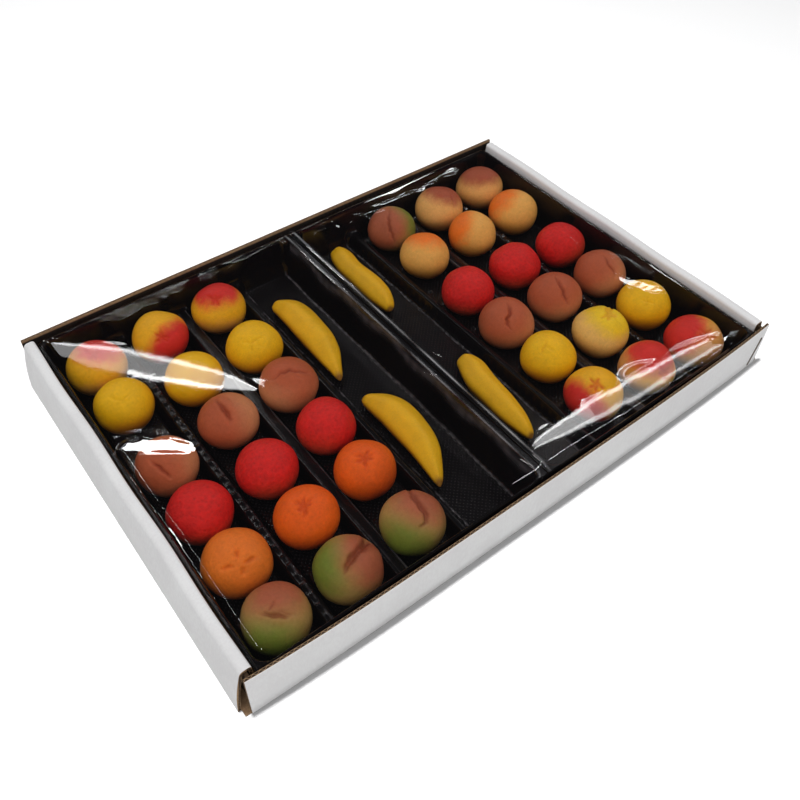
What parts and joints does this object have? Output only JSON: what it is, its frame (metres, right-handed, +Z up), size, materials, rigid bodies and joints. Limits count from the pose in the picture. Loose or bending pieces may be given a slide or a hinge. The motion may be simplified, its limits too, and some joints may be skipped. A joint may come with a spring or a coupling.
{
  "type": "boxed marzipan fruit selection",
  "caption": "Shallow white folded carton holding black moulded inserts with lanes of small coloured marzipan fruits, sealed under clear film.",
  "frame": {"origin": "bottom centre of the whole, on the surface that it stands on", "axes": "+X along the carton's long side, across both inserts; +Y from the bowed front long wall to the back one; +Z up"},
  "size_m": [0.349, 0.241, 0.031],
  "materials": {
    "carton": "corrugated board, white outside, raw brown at cut edges and inside the long walls",
    "insert": "glossy black vacuum-formed plastic",
    "film": "clear glossy film with folds and crinkles round its edge",
    "apple": "yellow marzipan airbrushed red, with a pressed star where the stalk would be",
    "lemon": "yellow marzipan with fine pressed creases",
    "peach": "brown-red tinted marzipan with one crease",
    "cherry": "red tinted marzipan, slightly grainy",
    "orange": "orange tinted marzipan with a pressed star",
    "plum": "green and brown tinted marzipan with one crease",
    "apricot": "pale apricot marzipan with an orange blush",
    "banana": "smooth yellow marzipan with darker sides"
  },
  "bodies": {
    "root": {"carton": "carton", "insert_left": "insert", "insert_right": "insert", "film": "film", "apple_a1": "apple", "lemon_a2": "lemon", "peach_a3": "peach", "cherry_a4": "cherry", "orange_a5": "orange", "plum_a6": "plum", "apple_b1": "apple", "lemon_b2": "lemon", "peach_b3": "peach", "cherry_b4": "cherry", "orange_b5": "orange", "plum_b6": "plum", "apple_c1": "apple", "lemon_c2": "lemon", "peach_c3": "peach", "cherry_c4": "cherry", "orange_c5": "orange", "plum_c6": "plum", "plum_f1": "plum", "apricot_f2": "apricot", "cherry_f3": "cherry", "peach_f4": "peach", "lemon_f5": "lemon", "apple_f6": "apple", "plum_g1": "plum", "apricot_g2": "apricot", "cherry_g3": "cherry", "peach_g4": "peach", "lemon_g5": "lemon", "apple_g6": "apple", "plum_h1": "plum", "apricot_h2": "apricot", "cherry_h3": "cherry", "peach_h4": "peach", "lemon_h5": "lemon", "apple_h6": "apple", "banana_d1": "banana", "banana_d2": "banana", "banana_e1": "banana", "banana_e2": "banana"}
  },
  "joints": []
}
